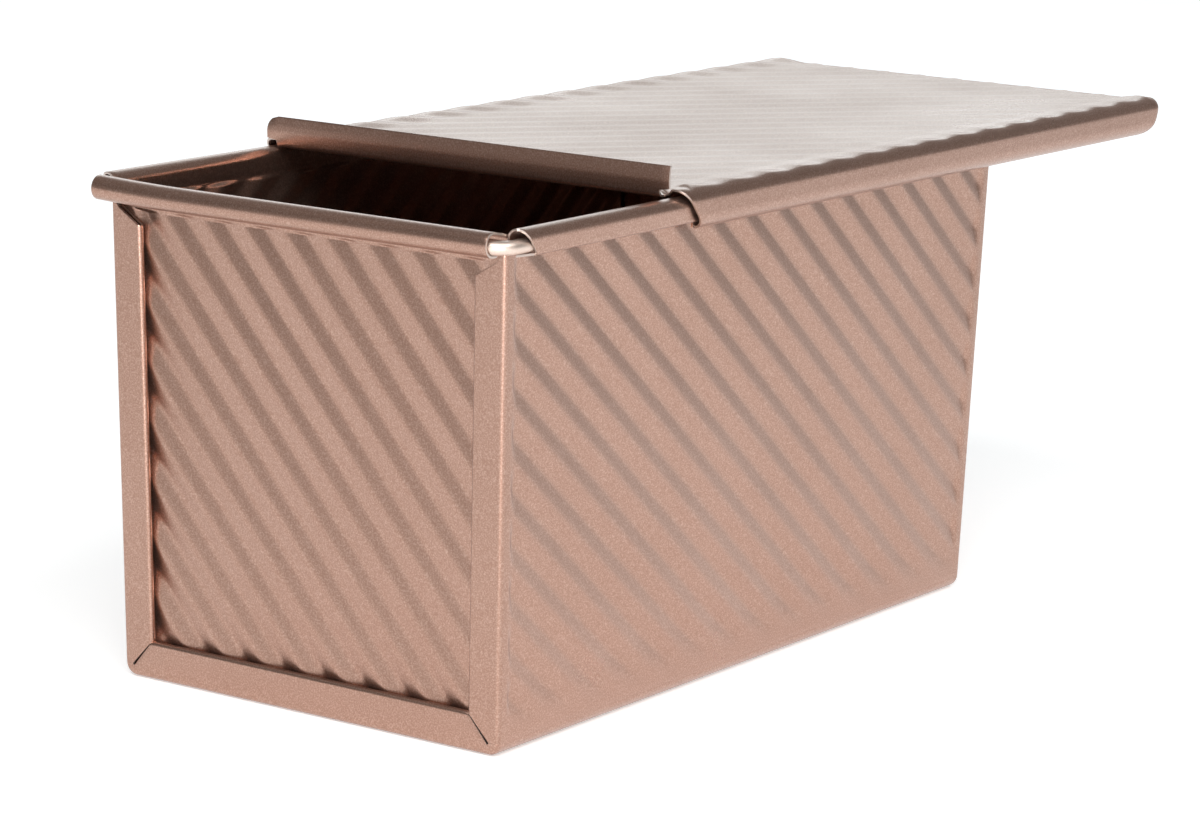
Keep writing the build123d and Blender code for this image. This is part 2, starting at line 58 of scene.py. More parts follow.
def bendPath(points, radii, stepAngle=math.radians(9)):
    # a bent line through corner points, each corner rounded to its radius
    corners = [Vector(p) for p in points]
    path = [corners[0]]
    for i, radius in enumerate(radii):
        before = (corners[i + 1] - corners[i]).normalized()
        after = (corners[i + 2] - corners[i + 1]).normalized()
        turn = math.atan2(before.x * after.y - before.y * after.x, before.dot(after))
        hand = 1 if turn > 0 else -1
        start = corners[i + 1] - before * radius * math.tan(abs(turn) / 2)
        centre = start + Vector((-before.y, before.x)) * radius * hand
        steps = max(2, math.ceil(abs(turn) / stepAngle))
        for k in range(steps + 1):
            spin = Matrix.Rotation(turn * k / steps, 2)
            point = centre + spin @ (start - centre)
            if (point - path[-1]).length > 1e-4:
                path.append(point)
    path.append(corners[-1])
    return path


def addGrid(bm, rows, fieldLayer=None, fieldCells=()):
    # rows of points (or None where the sheet is cut away); fieldCells are marked for pressing
    verts = [[None if p is None else bm.verts.new(Vector(p)) for p in row] for row in rows]
    for j in range(len(rows) - 1):
        for i in range(len(rows[j]) - 1):
            ring = [verts[j][i], verts[j][i + 1], verts[j + 1][i + 1], verts[j + 1][i]]
            ring = [v for v in ring if v is not None]
            if len(ring) < 3:
                continue
            face = bm.faces.new(ring)
            if (j, i) in fieldCells:
                face[fieldLayer] = fieldCells[(j, i)]


def cutField(bm, layer, number, origin, normal):
    faces = [f for f in bm.faces if f[layer] == number]
    edges = list({e for f in faces for e in f.edges})
    verts = list({v for f in faces for v in f.verts})
    bmesh.ops.bisect_plane(bm, geom=verts + edges + faces, dist=1e-5, plane_co=origin, plane_no=normal)


def cutStripes(bm, layer, number, panel):
    # cuts the panel's field along its stripes, and across near its borders
    origin, right, up = panel["origin"], panel["right"], panel["up"]
    window = panel["window"]
    angle = panel["angle"]
    acrossDir = (right * math.sin(angle) + up * math.cos(angle)).normalized()
    values = [math.sin(angle) * u + math.cos(angle) * v for u, v in window]
    step = panel["pitch"] / panel["cuts"]
    first = math.floor((min(values) - panel["phase"]) / step)
    last = math.ceil((max(values) - panel["phase"]) / step)
    for k in range(first, last + 1):
        s = panel["phase"] + k * step
        if min(values) < s < max(values):
            cutField(bm, layer, number, origin + acrossDir * s, acrossDir)
    for i in range(len(window)):
        a, b = window[i - 1], window[i]
        start = origin + right * a[0] + up * a[1]
        along = (right * (b[0] - a[0]) + up * (b[1] - a[1])).normalized()
        inward = (panel["out"].cross(along)).normalized()
        for share in panel["fadeCuts"]:
            cutField(bm, layer, number, start + inward * panel["fades"][i] * share, inward)


def markField(bm, layer, number, panel, atLayer, outLayer):
    # notes for each point where it lies in the panel and how deep it may be pressed
    origin, right, up, out = panel["origin"], panel["right"], panel["up"], panel["out"]
    window = panel["window"]
    for vert in {v for f in bm.faces if f[layer] == number for v in f.verts}:
        rel = vert.co - origin
        u, v = rel.dot(right), rel.dot(up)
        share = 1.0
        for i in range(len(window)):
            a, b = window[i - 1], window[i]
            length = math.hypot(b[0] - a[0], b[1] - a[1])
            away = ((b[0] - a[0]) * (v - a[1]) - (b[1] - a[1]) * (u - a[0])) / length
            share = max(0.0, min(share, away / panel["fades"][i]))
        vert[atLayer] = (u * mm, v * mm, share * share * (3 - 2 * share))
        vert[outLayer] = out


def newSheet():
    bm = bmesh.new()
    field = bm.faces.layers.int.new("field")
    at = bm.verts.layers.float_vector.new("panelAt")
    out = bm.verts.layers.float_vector.new("pressOut")
    return bm, field, at, out


def finishSheet(bm, name):
    bmesh.ops.remove_doubles(bm, verts=bm.verts, dist=weld)
    bmesh.ops.recalc_face_normals(bm, faces=bm.faces)
    bmesh.ops.scale(bm, vec=(mm, mm, mm), verts=bm.verts)
    mesh = bpy.data.meshes.new(name)
    bm.to_mesh(mesh)
    bm.free()
    obj = bpy.data.objects.new(name, mesh)
    bpy.context.scene.collection.objects.link(obj)
    return obj


def newGeometryTree(name, sockets):
    tree = bpy.data.node_groups.new(name, "GeometryNodeTree")
    tree.interface.new_socket("Geometry", in_out="INPUT", socket_type="NodeSocketGeometry")
    for label, kind in sockets:
        tree.interface.new_socket(label, in_out="INPUT", socket_type=kind)
    tree.interface.new_socket("Geometry", in_out="OUTPUT", socket_type="NodeSocketGeometry")
    return tree


def mathNode(tree, operation, first, second=None):
    node = tree.nodes.new("ShaderNodeMath")
    node.operation = operation
    for slot, value in zip(node.inputs, (first, second)):
        if isinstance(value, bpy.types.NodeSocket):
            tree.links.new(value, slot)
        elif value is not None:
            slot.default_value = value
    return node.outputs[0]


def endTree(tree, geometry, materialSocket):
    # every tree ends in real geometry with its finish set
    real = tree.nodes.new("GeometryNodeRealizeInstances")
    paint = tree.nodes.new("GeometryNodeSetMaterial")
    out = tree.nodes.new("NodeGroupOutput")
    tree.links.new(geometry, real.inputs[0])
    tree.links.new(real.outputs[0], paint.inputs["Geometry"])
    tree.links.new(materialSocket, paint.inputs["Material"])
    tree.links.new(paint.outputs[0], out.inputs[0])


def pressTree():
    # presses a rounded zigzag into the marked panels of a flat sheet
    tree = newGeometryTree("pressedStripes", [
        ("Pitch", "NodeSocketFloat"), ("Depth", "NodeSocketFloat"), ("Crest Drop", "NodeSocketFloat"),
        ("Stripe Angle", "NodeSocketFloat"), ("Phase", "NodeSocketFloat"), ("Sharpness", "NodeSocketFloat"),
        ("Finish", "NodeSocketMaterial")])
    given = tree.nodes.new("NodeGroupInput").outputs
    place = tree.nodes.new("GeometryNodeInputNamedAttribute")
    place.data_type = "FLOAT_VECTOR"
    place.inputs["Name"].default_value = "panelAt"
    outward = tree.nodes.new("GeometryNodeInputNamedAttribute")
    outward.data_type = "FLOAT_VECTOR"
    outward.inputs["Name"].default_value = "pressOut"
    parts = tree.nodes.new("ShaderNodeSeparateXYZ")
    tree.links.new(place.outputs["Attribute"], parts.inputs[0])
    angle = given["Stripe Angle"]
    across = mathNode(tree, "ADD", mathNode(tree, "MULTIPLY", parts.outputs[0], mathNode(tree, "SINE", angle)),
                      mathNode(tree, "MULTIPLY", parts.outputs[1], mathNode(tree, "COSINE", angle)))
    turns = mathNode(tree, "DIVIDE", mathNode(tree, "SUBTRACT", across, given["Phase"]), given["Pitch"])
    swing = mathNode(tree, "COSINE", mathNode(tree, "MULTIPLY", turns, 2 * math.pi))
    bent = mathNode(tree, "ARCSINE", mathNode(tree, "MULTIPLY", swing, given["Sharpness"]))
    bent = mathNode(tree, "DIVIDE", bent, mathNode(tree, "ARCSINE", given["Sharpness"]))
    share = mathNode(tree, "SUBTRACT", 0.5, mathNode(tree, "MULTIPLY", bent, 0.5))
    depth = mathNode(tree, "ADD", mathNode(tree, "MULTIPLY", share, given["Depth"]), given["Crest Drop"])
    depth = mathNode(tree, "MULTIPLY", depth, parts.outputs[2])
    push = tree.nodes.new("ShaderNodeVectorMath")
    push.operation = "SCALE"
    tree.links.new(outward.outputs["Attribute"], push.inputs[0])
    tree.links.new(mathNode(tree, "MULTIPLY", depth, -1.0), push.inputs["Scale"])
    move = tree.nodes.new("GeometryNodeSetPosition")
    tree.links.new(given["Geometry"], move.inputs["Geometry"])
    tree.links.new(push.outputs[0], move.inputs["Offset"])
    endTree(tree, move.outputs[0], given["Finish"])
    return tree


def applyTree(obj, tree, values):
    modifier = obj.modifiers.new("shape", "NODES")
    modifier.node_group = tree
    for item in tree.interface.items_tree:
        if item.in_out == "INPUT" and item.name in values:
            modifier[item.identifier] = values[item.name]
    bakeModifiers(obj)


def bakeModifiers(obj):
    graph = bpy.context.evaluated_depsgraph_get()
    mesh = bpy.data.meshes.new_from_object(obj.evaluated_get(graph))
    mesh.name = obj.name
    obj.modifiers.clear()
    old = obj.data
    obj.data = mesh
    if old.users == 0 and isinstance(old, bpy.types.Mesh):
        bpy.data.meshes.remove(old)


def thicken(obj, edgeFinish):
    # gives the sheet its thickness, with softened cut edges
    obj.data.materials.append(edgeFinish)
    shell = obj.modifiers.new("wall", "SOLIDIFY")
    shell.thickness = tin["sheet"] * mm
    shell.offset = 0
    shell.use_even_offset = True
    shell.material_offset_rim = 1
    bakeModifiers(obj)
    bm = bmesh.new()
    bm.from_mesh(obj.data)
    bmesh.ops.recalc_face_normals(bm, faces=bm.faces)
    openEdges = sum(1 for e in bm.edges if len(e.link_faces) != 2)
    bm.to_mesh(obj.data)
    bm.free()
    soft = obj.modifiers.new("edge", "BEVEL")
    soft.width = cutEdge["width"] * mm
    soft.segments = cutEdge["segments"]
    soft.limit_method = "ANGLE"
    soft.angle_limit = cutEdge["bevelFrom"]
    bakeModifiers(obj)
    for name in ("panelAt", "pressOut", "field"):
        if name in obj.data.attributes:
            obj.data.attributes.remove(obj.data.attributes[name])
    obj.data.shade_smooth()
    obj.data.set_sharp_from_angle(angle=cutEdge["creaseFrom"])
    print(obj.name, "open edges", openEdges, "faces", len(obj.data.polygons))


press = {"pitch": 8.35, "depth": 0.82, "crestDrop": 0.05, "sharpness": 0.95, "cuts": 12,
         "fades": (2.2, 10.0, 2.2, 0.9), "fadeCuts": (0.2, 0.4, 0.6, 0.8, 1.0, 1.15)}


def pressSheet(bm, name, finishes, pitch, depth, angle, phase):
    # stripes, thickness and finish for a sheet that is laid out and marked
    coating, edgeCoating, tree = finishes
    piece = finishSheet(bm, name)
    applyTree(piece, tree, {
        "Pitch": pitch * mm, "Depth": depth * mm, "Crest Drop": press["crestDrop"] * mm, "Stripe Angle": angle,
        "Phase": phase * mm, "Sharpness": press["sharpness"], "Finish": coating})
    thicken(piece, edgeCoating)
    print(name, "made")
    return piece


# the body: base and long walls in one sheet, folded over at its ends
wall = {
    "baseBend": 2.8, "endBend": 1.2, "hem": 0.9, "flange": 8.0, "footFlange": 8.5, "returnEnd": 2.4,
    "bridge": 2.4, "slit": 0.15, "cutHeight": 99.7, "cutSlope": 0.638, "cutWidth": 2.2,
    "stripeAngle": math.radians(39.1), "stripePhase": 6.28,
    "fieldEnd": 2.6, "fieldFoot": 4.0, "fieldHead": 104.6, "baseMargin": 4.5,
    "rollRadius": 2.3, "rollTop": 110.4, "rollHeight": 5.8, "rollTuck": 0.4, "rollCurl": 0.9,
    "rollCurlLength": 1.75, "rollEnd": 96.9, "rollCut": 5.0,
    "rollMargin": 0.4, "bendSteps": 8, "baseFades": (2.4, 2.4, 2.4, 2.4),
}


def foldPath(width):
    # from the wall round the corner, over the flange face, round its hem and back behind it
    half = tin["sheet"] / 2
    bend, hem = wall["endBend"], wall["hem"]
    points = [(half, -bend), (half, -half), (width - half, -half), (width - half, -2 * hem + half),
              (wall["returnEnd"], -2 * hem + half)]
    path = bendPath(points, [bend - half, hem - half, hem - half])
    bridge = (wall["bridge"], -half)
    at = next(i for i, p in enumerate(path) if p.x > bridge[0])
    return path[:at] + [Vector(bridge)] + path[at:]


def flangeTop(w):
    if w <= wall["cutWidth"]:
        return tin["wallTop"]
    return wall["cutHeight"] + (wall["flange"] - w) * wall["cutSlope"]


def sideRollPath():
    half = tin["sheet"] / 2
    radius = wall["rollRadius"] - half
    top = wall["rollTop"] - half
    outer = 2 * radius - half
    bottom = wall["rollTop"] - wall["rollHeight"] + half
    shoulder = wall["rollTop"] - wall["rollRadius"] - half
    tucked = outer - wall["rollTuck"]
    points = [(-half, tin["wallTop"]), (-half, top), (outer, top), (outer, shoulder),
              (tucked, bottom), (tucked - wall["rollCurlLength"], bottom)]
    return bendPath(points, [radius, radius, wall["rollRadius"] / 2, wall["rollCurl"] - half])


def bodyColumns(span, fold, where):
    # one row of the sheet, from the front fold's free end to the rear one's
    front = [where(-1, w, n) for w, n in fold]
    rear = [where(1, w, n) for w, n in fold]
    return list(reversed(front)) + span + rear


def makeBody(finishes):
    bm, layer, atLayer, outLayer = newSheet()
    half = tin["sheet"] / 2
    fold = foldPath(wall["flange"])
    footFold = foldPath(wall["footFlange"])
    bend = wall["endBend"]
    bridge = Vector((wall["bridge"], -half))
    bridgeAt = next(i for i, p in enumerate(fold) if (p - bridge).length < 1e-6)
    short = fold[:bridgeAt + 1]
    mitre = wall["footFlange"] / wall["flange"]
    levels = [wall["baseBend"], wall["fieldFoot"], wall["fieldHead"], tin["wallTop"]]
    panels = {}
    for side in (-1, 1):
        rows = []
        for z in levels:
            t = (z - levels[0]) / (levels[-1] - levels[0])

            def onFlange(end, w, n, t=t):
                low = max(levels[0], w * mitre + wall["slit"])
                height = low + (flangeTop(w) - low) * t
                return (end * (halfLengthAt(height) + n), side * (halfWidthAt(height) - w), height)

            xIn = halfLengthAt(z) - wall["fieldEnd"]
            y = side * (halfWidthAt(z) - half)
            span = [(-xIn, y, z), (xIn, y, z)]
            rows.append(bodyColumns(span, fold, onFlange))
        number = 1 if side < 0 else 2
        addGrid(bm, rows, layer, {(1, len(fold)): number})
        # rolled rim above the wall
        rim = []
        for o, z in sideRollPath():
            reach = wall["rollEnd"]
            if o > wall["rollRadius"] - half:
                reach -= wall["rollCut"] * (wall["rollTop"] - z) / wall["rollHeight"]
            if z <= tin["wallTop"] and o < 0:
                reach = halfLengthAt(z) - bend
            y = side * (halfWidthAt(tin["wallTop"]) + o)
            inner = min(halfLengthAt(tin["wallTop"]) - wall["fieldEnd"], reach - wall["rollMargin"])
            rim.append([(-reach, y, z), (-inner, y, z), (inner, y, z), (reach, y, z)])
        addGrid(bm, rim)
        # the long bend at the foot, bridging the two flanges at each corner
        corner = []
        for k in range(wall["bendSteps"] + 1):
            theta = math.radians(90) * k / wall["bendSteps"]

            def onBend(end, w, n, theta=theta):
                radius = wall["baseBend"] - w
                height = wall["baseBend"] - radius * math.sin(theta)
                y = side * (tin["halfWidth"] - wall["baseBend"] + radius * math.cos(theta))
                return (end * (halfLengthAt(height) + n), y, height)

            radius = wall["baseBend"] - half
            height = wall["baseBend"] - radius * math.sin(theta)
            y = side * (tin["halfWidth"] - wall["baseBend"] + radius * math.cos(theta))
            inner = halfLengthAt(height) - wall["fieldEnd"]
            span = [(-inner, y, height), (inner, y, height)]
            corner.append(bodyColumns(span, short, onBend))
        addGrid(bm, corner)
        up = Vector((0, side * math.sin(tin["sideLean"]), math.cos(tin["sideLean"])))
        out = Vector((0, side * math.cos(tin["sideLean"]), -math.sin(tin["sideLean"])))
        low = halfLengthAt(wall["fieldFoot"]) - wall["fieldEnd"]
        high = halfLengthAt(wall["fieldHead"]) - wall["fieldEnd"]
        scale = 1 / math.cos(tin["sideLean"])
        foot, head = wall["fieldFoot"] * scale, wall["fieldHead"] * scale
        panels[number] = dict(
            press, origin=Vector((0, side * tin["halfWidth"], 0)), right=up.cross(out), up=up, out=out,
            window=[(-low, foot), (low, foot), (high, head), (-high, head)],
            angle=wall["stripeAngle"], phase=wall["stripePhase"])
    # base, with the flanges turned up at its ends
    yEdge = tin["halfWidth"] - wall["baseBend"]
    yIn = tin["halfWidth"] - wall["baseMargin"]
    rows = []
    for y in (-yEdge, -yIn, yIn, yEdge):
        def onFoot(end, w, n, y=y):
            limit = min(yEdge, halfWidthAt(w) - w / mitre - wall["slit"])
            return (end * (halfLengthAt(w) + n), y * limit / yEdge, w)

        xIn = tin["halfLength"] - wall["baseMargin"]
        xFlat = tin["halfLength"] - wall["fieldEnd"]
        span = [(-xFlat, y, half), (-xIn, y, half), (xIn, y, half), (xFlat, y, half)]
        rows.append(bodyColumns(span, footFold, onFoot))
    addGrid(bm, rows, layer, {(1, len(footFold) + 1): 3})
    x = tin["halfLength"] - wall["baseMargin"]
    panels[3] = dict(press, origin=Vector((0, 0, 0)), right=Vector((1, 0, 0)), up=Vector((0, -1, 0)),
                     out=Vector((0, 0, -1)), window=[(-x, -yIn), (x, -yIn), (x, yIn), (-x, yIn)],
                     angle=wall["stripeAngle"], phase=wall["stripePhase"], fades=wall["baseFades"])
    bmesh.ops.remove_doubles(bm, verts=bm.verts, dist=weld)
    for number, panel in panels.items():
        cutStripes(bm, layer, number, panel)
        markField(bm, layer, number, panel, atLayer, outLayer)
    return pressSheet(bm, "foldedBody", finishes, press["pitch"], press["depth"], wall["stripeAngle"],
                      wall["stripePhase"])


endPanel = {
    "depth": 2.2, "hookDepth": 0.9, "turnAt": 1.55, "hookEnd": 6.6, "hookRadius": 0.65,
    "notch": 2.8, "uprightLow": 9.5, "uprightHigh": 98.7, "footHalf": 41.3,
    "fieldFoot": 4.0, "fieldHead": 103.6, "fieldSide": 4.5,
    "pressDepth": 0.78, "stripeAngle": math.radians(49.6), "pitch": 8.28, "stripePhase": 3.83,
    "rimLow": 104.7, "rimTop": 109.95, "rimReach": 6.1, "rimRadius": 2.65, "rimSlope": math.radians(12),
    "rimSteps": (0.85, 0.7, 0.5), "flareStart": 28.0, "flareOut": 0.2, "flareUp": 0.55, "flareLong": 0.5,
    "flareFrom": 97.5, "footMargin": 1.0, "fades": (2.4, 2.4, 2.4, 1.0),
    "rimBend": 1.6, "lipReach": 1.35, "lipHeight": 0.9, "lipRadius": 0.35, "rimHalf": 51.3,
}


def endRimPath():
    # the rolled rim's section: up from the panel, out over the wire and back under it
    half = tin["sheet"] / 2
    e = endPanel
    x = halfLengthAt(e["rimLow"]) - e["depth"]
    centreX = halfLengthAt(tin["wallTop"]) + e["rimReach"] - e["rimRadius"]
    centreZ = e["rimTop"] - e["rimRadius"]
    radius = e["rimRadius"] - half
    tip = centreX + radius
    high = centreZ + radius * (1 + math.sin(e["rimSlope"])) / math.cos(e["rimSlope"])
    shoulder = high - (tip - x) * math.tan(e["rimSlope"])
    bottom = centreZ - radius
    lipX = centreX - e["lipReach"]
    points = [(x, e["rimLow"]), (x, shoulder), (tip, high), (tip, bottom), (lipX, bottom),
              (lipX, bottom + e["lipHeight"])]
    return bendPath(points, [e["rimBend"], radius, radius, e["lipRadius"]])


def makeEndPanel(end, name, finishes):
    e = endPanel
    bm, layer, atLayer, outLayer = newSheet()
    turn = e["turnAt"]
    levels = [turn, e["fieldFoot"], turn + e["notch"], e["uprightLow"], e["uprightHigh"], e["fieldHead"],
              e["rimLow"]]

    def outerY(z):
        return halfWidthAt(z) - turn - max(0.0, turn + e["notch"] - z)

    def columnsAt(z):
        inner = halfWidthAt(z) - e["fieldSide"]
        foot = min(e["footHalf"], inner - e["footMargin"])
        return [outerY(z), inner, foot] + [foot * share for share in e["rimSteps"]]

    def flared(x, y, z):
        # the front rim opens a little towards its far end
        share = max(0.0, (y - e["flareStart"]) / (e["rimHalf"] - e["flareStart"])) ** 2 if end < 0 else 0.0
        share *= min(1.0, (max(0.0, z - e["rimLow"]) + max(0.0, x - e["flareFrom"])) / 2)
        return (end * (x + e["flareOut"] * share), y + e["flareLong"] * share, z + e["flareUp"] * share)

    rows = []
    for z in levels:
        x = end * (halfLengthAt(z) - e["depth"])
        columns = columnsAt(z)
        rows.append([(x, -y, z) for y in columns] + [(x, y, z) for y in reversed(columns)])
    cells = {(j, i): 1 for j in range(1, 5) for i in range(1, len(rows[0]) - 2)}
    addGrid(bm, rows, layer, cells)
    columns = [e["rimHalf"]] + columnsAt(e["rimLow"])
    addGrid(bm, [[(end * x, -y, z) for y in columns] + [flared(x, y, z) for y in reversed(columns)]
                 for x, z in endRimPath()])
    hook = bendPath([(turn, -e["depth"]), (turn - e["hookRadius"], -e["depth"]),
                     (turn - e["hookRadius"], -e["hookDepth"]), (e["hookEnd"], -e["hookDepth"])],
                    [e["hookRadius"], e["hookRadius"]])
    for side in (-1, 1):
        upright = []
        for z in (e["uprightLow"], e["uprightHigh"]):
            upright.append([(end * (halfLengthAt(z) + n), side * (halfWidthAt(z) - w), z) for w, n in hook])
        addGrid(bm, upright)
    shares = (1.0,) + e["rimSteps"]
    across = [-e["footHalf"] * share for share in shares] + [e["footHalf"] * share for share in reversed(shares)]
    addGrid(bm, [[(end * (halfLengthAt(w) + n), y, w) for y in across] for w, n in hook])
    bmesh.ops.remove_doubles(bm, verts=bm.verts, dist=weld)
    lean = tin["endLean"]
    up = Vector((end * math.sin(lean), 0, math.cos(lean)))
    out = Vector((end * math.cos(lean), 0, -math.sin(lean)))
    scale = 1 / math.cos(lean)
    low = halfWidthAt(e["fieldFoot"]) - e["fieldSide"]
    high = halfWidthAt(e["fieldHead"]) - e["fieldSide"]
    foot, head = e["fieldFoot"] * scale, e["fieldHead"] * scale
    panel = dict(press, origin=Vector((end * (tin["halfLength"] - e["depth"]), 0, 0)), right=up.cross(out), up=up,
                 out=out, window=[(-low, foot), (low, foot), (high, head), (-high, head)],
                 angle=e["stripeAngle"], phase=e["stripePhase"], pitch=e["pitch"], fades=e["fades"])
    cutStripes(bm, layer, 1, panel)
    markField(bm, layer, 1, panel, atLayer, outLayer)
    return pressSheet(bm, name, finishes, e["pitch"], e["pressDepth"], e["stripeAngle"], e["stripePhase"])


wire = {"halfLength": 101.68, "halfWidth": 53.83, "height": 106.78, "radius": 1.5, "bend": 4.0,
        "bendPoints": 14, "around": 24}


def wireTree():
    tree = newGeometryTree("bentWireRing", [
        ("Length", "NodeSocketFloat"), ("Width", "NodeSocketFloat"), ("Height", "NodeSocketFloat"),
        ("Bend Radius", "NodeSocketFloat"), ("Wire Radius", "NodeSocketFloat"), ("Finish", "NodeSocketMaterial")])
    given = tree.nodes.new("NodeGroupInput").outputs
    ring = tree.nodes.new("GeometryNodeCurvePrimitiveQuadrilateral")
    tree.links.new(given["Length"], ring.inputs["Width"])
    tree.links.new(given["Width"], ring.inputs["Height"])
    corners = tree.nodes.new("GeometryNodeFilletCurve")
    corners.mode = "POLY"
    corners.inputs["Count"].default_value = wire["bendPoints"]
    tree.links.new(ring.outputs[0], corners.inputs["Curve"])
    tree.links.new(given["Bend Radius"], corners.inputs["Radius"])
    lift = tree.nodes.new("GeometryNodeTransform")
    raised = tree.nodes.new("ShaderNodeCombineXYZ")
    tree.links.new(given["Height"], raised.inputs[2])
    tree.links.new(corners.outputs[0], lift.inputs["Geometry"])
    tree.links.new(raised.outputs[0], lift.inputs["Translation"])
    section = tree.nodes.new("GeometryNodeCurvePrimitiveCircle")
    section.inputs["Resolution"].default_value = wire["around"]
    tree.links.new(given["Wire Radius"], section.inputs["Radius"])
    sweep = tree.nodes.new("GeometryNodeCurveToMesh")
    tree.links.new(lift.outputs[0], sweep.inputs["Curve"])
    tree.links.new(section.outputs[0], sweep.inputs["Profile Curve"])
    endTree(tree, sweep.outputs[0], given["Finish"])
    return tree


def makeWire(finish):
    mesh = bpy.data.meshes.new("rimRing")
    ring = bpy.data.objects.new("rimRing", mesh)
    bpy.context.scene.collection.objects.link(ring)
    applyTree(ring, wireTree(), {
        "Length": 2 * wire["halfLength"] * mm, "Width": 2 * wire["halfWidth"] * mm, "Height": wire["height"] * mm,
        "Bend Radius": wire["bend"] * mm, "Wire Radius": wire["radius"] * mm, "Finish": finish})
    ring.data.shade_smooth()
    print("wire made")
    return ring


lid = {
    "front": -43.15, "rear": 173.35, "panel": 110.55, "outer": 57.0, "stepOut": 53.2, "stepIn": 51.6,
    "crest": 111.85, "bottom": 103.25, "curl": 3.45, "radii": [0.8, 0.8, 2.6, 3.2],
    "cutStart": 2.3, "cutSlope": 0.85, "rearRadius": 7.5,
    "lipSetback": 0.65, "lipBulge": 0.4, "lipHeight": 6.5, "lipBend": 1.4, "lipBow": 12.0, "lipHalf": 53.95,
    "lipFlat": 51.4, "lipClear": 112.4, "lipCorner": 3.0,
    "fieldFront": 5.5, "fieldRear": 1.2, "fieldSide": 51.0, "ribSide": 57.0, "ribLow": 110.0,
    "rampIn": 46.5, "rampOut": 54.0, "crown": 0.65,
    "longStep": 0.7, "lipStep": 0.5, "rowMargin": 1.0, "lipMargin": 0.3, "lipGap": 0.2,
    "pressDepth": 0.6, "ribFades": (2.4, 5.0, 2.4, 4.5), "stripeAngle": math.radians(-37.6), "stripePhase": 7.45,
}


def subdivided(path, longest):
    fine = [path[0]]
    for point in path[1:]:
        parts = max(1, math.ceil((point - fine[-1]).length / longest))
        start = fine[-1]
        fine += [start.lerp(point, (k + 1) / parts) for k in range(parts)]
    return fine


def cornerCut(radius, above):
    # how far a rounded corner draws an edge in, above where the corner starts
    return radius - math.sqrt(max(0.0, radius ** 2 - above ** 2)) if above > 0 else 0.0


def makeLid(finishes):
    d = lid
    bm, layer, atLayer, outLayer = newSheet()
    half = tin["sheet"] / 2
    path = bendPath([(d["fieldSide"], d["panel"]), (d["stepIn"], d["panel"]), (d["stepOut"], d["crest"]),
                     (d["outer"], d["crest"]), (d["outer"], d["bottom"]), (d["outer"] - d["curl"], d["bottom"])],
                    d["radii"])
    path = subdivided(path, d["longStep"])
    crestTop = d["crest"] + half
    low = d["bottom"] - half
    lipStart = d["front"] + d["lipSetback"] + d["lipBend"] + tin["sheet"]
    fieldX = (d["front"] + d["fieldFront"], d["rear"] - d["fieldRear"])

    def eased(y, z):
        # behind the lip the step up to each channel is drawn out into a gentle ramp
        if abs(y) >= d["rampOut"]:
            return y, z
        share = (abs(y) - d["fieldSide"]) / (d["rampOut"] - d["fieldSide"])
        reach = d["rampIn"] + share * (d["rampOut"] - d["rampIn"])
        base = d["panel"] + d["crown"]
        return math.copysign(reach, y), base + (d["crest"] - base) * share * share * (3 - 2 * share)

    def rowAt(y, z, edge):
        front = d["front"] + d["cutStart"] + (crestTop - z) * d["cutSlope"] if edge else lipStart
        rear = d["rear"] - (cornerCut(d["rearRadius"], low + d["rearRadius"] - z) if edge else 0.0)
        inFront = max(fieldX[0], front + d["rowMargin"])
        inRear = min(fieldX[1], rear - d["rowMargin"])
        easedY, easedZ = eased(y, z)
        return [(front, y, z), (inFront, easedY, easedZ), (inRear, easedY, easedZ), (rear, easedY, easedZ)]

    oneSide = [(y, z, i > 3) for i, (y, z) in enumerate(path)]  # only the channel's edge is cut back
    section = [(-y, z, edge) for y, z, edge in reversed(oneSide)] + oneSide
    rows = [rowAt(*point) for point in section]
    ribbed = next(i for i, (y, z, edge) in enumerate(oneSide) if z < d["ribLow"])
    middleRow = len(oneSide) - 1
    addGrid(bm, rows, layer, {(j, 1): 1 for j in range(middleRow - ribbed, middleRow + ribbed + 1)})
    # the upturned lip
    front = d["front"] + d["lipSetback"]
    top = d["panel"] + half + d["lipHeight"]
    waist = (d["panel"] + top) / 2
    bend = bendPath([(lipStart, d["panel"]), (front, d["panel"]), (front - d["lipBulge"], waist), (front, top)],
                    [d["lipBend"] - half, d["lipBow"]])
    fine = []
    for k, point in enumerate(subdivided(bend, d["lipStep"])):
        if fine and fine[-1].y < d["lipClear"] < point.y:
            fine.append(fine[-1].lerp(point, (d["lipClear"] - fine[-1].y) / (point.y - fine[-1].y)))
        fine.append(point)
    lipRows = []
    for x, z in fine:
        wide = z >= d["lipClear"] - 1e-6
        far = d["lipHalf"] - cornerCut(d["lipCorner"], z - (top - d["lipCorner"]))
        inner = min(d["lipFlat"], far - d["lipMargin"])
        lipRows.append([(x, -d["lipHalf"], z) if wide else None, (x, -d["lipFlat"], z), (x, -d["fieldSide"], z),
                        (x, min(d["fieldSide"], inner - d["lipGap"]), z), (x, inner, z),
                        (x, far, z) if wide else None])
    addGrid(bm, lipRows)
    bmesh.ops.remove_doubles(bm, verts=bm.verts, dist=weld)
    middle = (d["front"] + d["rear"]) / 2
    a, b = fieldX[0] - middle, fieldX[1] - middle
    y = d["ribSide"]
    panel = dict(press, origin=Vector((middle, 0, d["panel"] + d["crown"])), right=Vector((1, 0, 0)),
                 up=Vector((0, -1, 0)), out=Vector((0, 0, -1)), window=[(a, -y), (b, -y), (b, y), (a, y)],
                 angle=d["stripeAngle"], phase=d["stripePhase"], fades=d["ribFades"])
    cutStripes(bm, layer, 1, panel)
    markField(bm, layer, 1, panel, atLayer, outLayer)
    return pressSheet(bm, "slidingLid", finishes, press["pitch"], d["pressDepth"], d["stripeAngle"],
                      d["stripePhase"])


